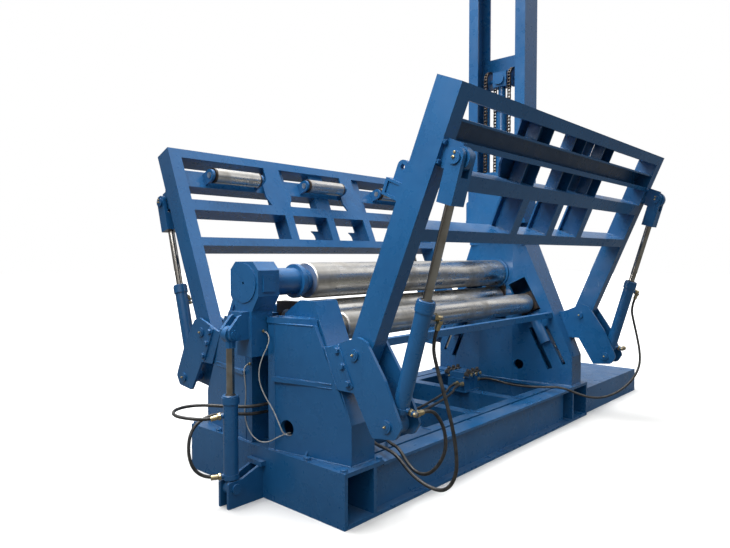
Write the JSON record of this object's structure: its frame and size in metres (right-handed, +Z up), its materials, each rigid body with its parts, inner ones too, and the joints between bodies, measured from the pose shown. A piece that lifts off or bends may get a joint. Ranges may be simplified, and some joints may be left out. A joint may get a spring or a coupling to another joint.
{
  "type": "four-roll plate rolling machine",
  "caption": "Plate rolling machine with powered bending rolls between two fabricated housings, a hinged drop end, tilting side support frames with cylinders, and a lifting mast.",
  "frame": {"origin": "on the floor, under the middle of the drop end's foot box", "axes": "+X along the rolls from the drop end to the drive end, +Y to the rear frame, +Z up"},
  "size_m": [4.2717, 2.3687, 3.88],
  "materials": {
    "blue_paint": "gloss",
    "rolled_steel": "worn satin",
    "chromed_rod": "polished",
    "oiled_steel": "oily satin",
    "black_rubber": "matte"
  },
  "bodies": {
    "machine": {"base_beams": "blue_paint", "drive_end_foot_box": "blue_paint", "drive_end_housing": "blue_paint", "drop_end_foot_box": "blue_paint", "drop_end_grease_line_1": "black_rubber", "drop_end_grease_line_2": "black_rubber", "drop_end_housing": "blue_paint", "extension_channels": "blue_paint", "extension_cross_members": "blue_paint", "extension_deck": "blue_paint", "front_brackets": "blue_paint", "front_far_upper_hose": "black_rubber", "front_near_lower_hose": "black_rubber", "front_near_upper_hose": "black_rubber", "inner_rails": "blue_paint", "mast_chains": "oiled_steel", "mast_columns": "blue_paint", "mast_cross_members": "blue_paint", "mast_lift_cylinder": "blue_paint", "mast_pedestal": "blue_paint", "rail_ties": "blue_paint", "rear_brackets": "blue_paint", "tie_bars": "blue_paint", "tilt_cylinder_bracket": "blue_paint", "tilt_lower_hose": "black_rubber", "tilt_upper_hose": "black_rubber", "valve_block": "blue_paint"},
    "top_roll": {"top_roll": "rolled_steel"},
    "bottom_lift": {"bottom_roll_blocks": "oiled_steel"},
    "bottom_roll": {"bottom_roll": "rolled_steel"},
    "front_side_lift": {"front_side_blocks": "oiled_steel"},
    "front_side_roll": {"front_side_roll": "rolled_steel"},
    "rear_side_lift": {"rear_side_blocks": "oiled_steel"},
    "rear_side_roll": {"rear_side_roll": "rolled_steel"},
    "drop_end": {"drop_end_yoke": "blue_paint"},
    "tilt_barrel": {"tilt_cylinder_tube": "blue_paint"},
    "tilt_rod": {"tilt_cylinder_rod": "chromed_rod"},
    "carriage": {"mast_carriage": "blue_paint"},
    "front_frame": {"front_frame_arms": "blue_paint", "front_frame_rails": "blue_paint", "front_frame_posts": "blue_paint", "front_roller_beam": "blue_paint"},
    "front_roller_1": {"front_roller_1": "rolled_steel"},
    "front_roller_2": {"front_roller_2": "rolled_steel"},
    "front_roller_3": {"front_roller_3": "rolled_steel"},
    "front_near_barrel": {"front_near_cylinder_tube": "blue_paint"},
    "front_near_rod": {"front_near_cylinder_rod": "chromed_rod"},
    "front_far_barrel": {"front_far_cylinder_tube": "blue_paint"},
    "front_far_rod": {"front_far_cylinder_rod": "chromed_rod"},
    "rear_frame": {"rear_frame_arms": "blue_paint", "rear_frame_rails": "blue_paint", "rear_frame_posts": "blue_paint", "rear_roller_beam": "blue_paint"},
    "rear_roller_1": {"rear_roller_1": "rolled_steel"},
    "rear_roller_2": {"rear_roller_2": "rolled_steel"},
    "rear_roller_3": {"rear_roller_3": "rolled_steel"},
    "rear_near_barrel": {"rear_near_cylinder_tube": "blue_paint"},
    "rear_near_rod": {"rear_near_cylinder_rod": "chromed_rod"},
    "rear_far_barrel": {"rear_far_cylinder_tube": "blue_paint"},
    "rear_far_rod": {"rear_far_cylinder_rod": "chromed_rod"}
  },
  "joints": [
    {"name": "top_roll_spin", "type": "hinge", "parent": "machine", "child": "top_roll", "pos_m": [1.2, 0, 1.108], "axis": [1, 0, 0], "continuous": true},
    {"name": "bottom_roll_lift", "type": "slide", "parent": "machine", "child": "bottom_lift", "axis": [0, 0, 1], "range_m": [-0.06, 0.006]},
    {"name": "bottom_roll_spin", "type": "hinge", "parent": "bottom_lift", "child": "bottom_roll", "pos_m": [1.2, 0, 0.906], "axis": [1, 0, 0], "continuous": true},
    {"name": "front_side_roll_lift", "type": "slide", "parent": "machine", "child": "front_side_lift", "axis": [0, 0.454, 0.891], "range_m": [0, 0.11]},
    {"name": "front_side_roll_spin", "type": "hinge", "parent": "front_side_lift", "child": "front_side_roll", "pos_m": [1.2, -0.265, 0.875], "axis": [1, 0, 0], "continuous": true},
    {"name": "rear_side_roll_lift", "type": "slide", "parent": "machine", "child": "rear_side_lift", "axis": [0, -0.454, 0.891], "range_m": [0, 0.11]},
    {"name": "rear_side_roll_spin", "type": "hinge", "parent": "rear_side_lift", "child": "rear_side_roll", "pos_m": [1.2, 0.265, 0.875], "axis": [1, 0, 0], "continuous": true},
    {"name": "drop_end_tilt", "type": "hinge", "parent": "machine", "child": "drop_end", "pos_m": [-0.075, 0, 0.778], "axis": [0, -1, 0], "range_deg": [0, 45]},
    {"name": "tilt_cylinder_swing", "type": "hinge", "parent": "machine", "child": "tilt_barrel", "pos_m": [-0.306, 0, 0.092], "axis": [0, -1, 0], "range_deg": [0, 0.59]},
    {"name": "tilt_cylinder_stroke", "type": "slide", "parent": "tilt_barrel", "child": "tilt_rod", "axis": [0, 0, 1], "range_m": [-0.1879, 0]},
    {"name": "front_frame_tilt", "type": "hinge", "parent": "machine", "child": "front_frame", "pos_m": [1.2, -0.62, 0.793], "axis": [1, 0, 0], "range_deg": [0, 45]},
    {"name": "front_roller_1_spin", "type": "hinge", "parent": "front_frame", "child": "front_roller_1", "pos_m": [0.405, -0.94241, 1.82127], "axis": [1, 0, 0], "continuous": true},
    {"name": "front_roller_2_spin", "type": "hinge", "parent": "front_frame", "child": "front_roller_2", "pos_m": [1.235, -0.94241, 1.82127], "axis": [1, 0, 0], "continuous": true},
    {"name": "front_roller_3_spin", "type": "hinge", "parent": "front_frame", "child": "front_roller_3", "pos_m": [2.065, -0.94241, 1.82127], "axis": [1, 0, 0], "continuous": true},
    {"name": "front_near_cylinder_swing", "type": "hinge", "parent": "machine", "child": "front_near_barrel", "pos_m": [0.003, -0.813, 0.5], "axis": [1, 0, 0], "range_deg": [0, 39.42]},
    {"name": "front_near_cylinder_stroke", "type": "slide", "parent": "front_near_barrel", "child": "front_near_rod", "axis": [0, -0.2784, 0.9605], "range_m": [-0.2473, 0]},
    {"name": "front_far_cylinder_swing", "type": "hinge", "parent": "machine", "child": "front_far_barrel", "pos_m": [2.508, -0.813, 0.5], "axis": [1, 0, 0], "range_deg": [0, 39.42]},
    {"name": "front_far_cylinder_stroke", "type": "slide", "parent": "front_far_barrel", "child": "front_far_rod", "axis": [0, -0.2784, 0.9605], "range_m": [-0.2473, 0]},
    {"name": "rear_frame_tilt", "type": "hinge", "parent": "machine", "child": "rear_frame", "pos_m": [1.2, 0.62, 0.793], "axis": [-1, 0, 0], "range_deg": [0, 45]},
    {"name": "rear_roller_1_spin", "type": "hinge", "parent": "rear_frame", "child": "rear_roller_1", "pos_m": [0.405, 0.92092, 1.77064], "axis": [1, 0, 0], "continuous": true},
    {"name": "rear_roller_2_spin", "type": "hinge", "parent": "rear_frame", "child": "rear_roller_2", "pos_m": [1.235, 0.92092, 1.77064], "axis": [1, 0, 0], "continuous": true},
    {"name": "rear_roller_3_spin", "type": "hinge", "parent": "rear_frame", "child": "rear_roller_3", "pos_m": [2.065, 0.92092, 1.77064], "axis": [1, 0, 0], "continuous": true},
    {"name": "rear_near_cylinder_swing", "type": "hinge", "parent": "machine", "child": "rear_near_barrel", "pos_m": [0.003, 0.813, 0.5], "axis": [-1, 0, 0], "range_deg": [0, 38.99]},
    {"name": "rear_near_cylinder_stroke", "type": "slide", "parent": "rear_near_barrel", "child": "rear_near_rod", "axis": [0, 0.2728, 0.9621], "range_m": [-0.2465, 0]},
    {"name": "rear_far_cylinder_swing", "type": "hinge", "parent": "machine", "child": "rear_far_barrel", "pos_m": [2.508, 0.813, 0.5], "axis": [-1, 0, 0], "range_deg": [0, 38.99]},
    {"name": "rear_far_cylinder_stroke", "type": "slide", "parent": "rear_far_barrel", "child": "rear_far_rod", "axis": [0, 0.2728, 0.9621], "range_m": [-0.2465, 0]},
    {"name": "carriage_lift", "type": "slide", "parent": "machine", "child": "carriage", "axis": [0, 0, 1], "range_m": [0, 1.6]}
  ],
  "couplings": [
    {"joint": "tilt_cylinder_swing", "follows": "drop_end_tilt", "ratio": 0.001956},
    {"joint": "tilt_cylinder_stroke", "follows": "drop_end_tilt", "m_per_rad": -0.23797},
    {"joint": "front_near_cylinder_swing", "follows": "front_frame_tilt", "ratio": 0.86944},
    {"joint": "front_near_cylinder_stroke", "follows": "front_frame_tilt", "m_per_rad": -0.31364},
    {"joint": "front_far_cylinder_swing", "follows": "front_frame_tilt", "ratio": 0.86944},
    {"joint": "front_far_cylinder_stroke", "follows": "front_frame_tilt", "m_per_rad": -0.31364},
    {"joint": "rear_near_cylinder_swing", "follows": "rear_frame_tilt", "ratio": 0.85977},
    {"joint": "rear_near_cylinder_stroke", "follows": "rear_frame_tilt", "m_per_rad": -0.31256},
    {"joint": "rear_far_cylinder_swing", "follows": "rear_frame_tilt", "ratio": 0.85977},
    {"joint": "rear_far_cylinder_stroke", "follows": "rear_frame_tilt", "m_per_rad": -0.31256}
  ]
}
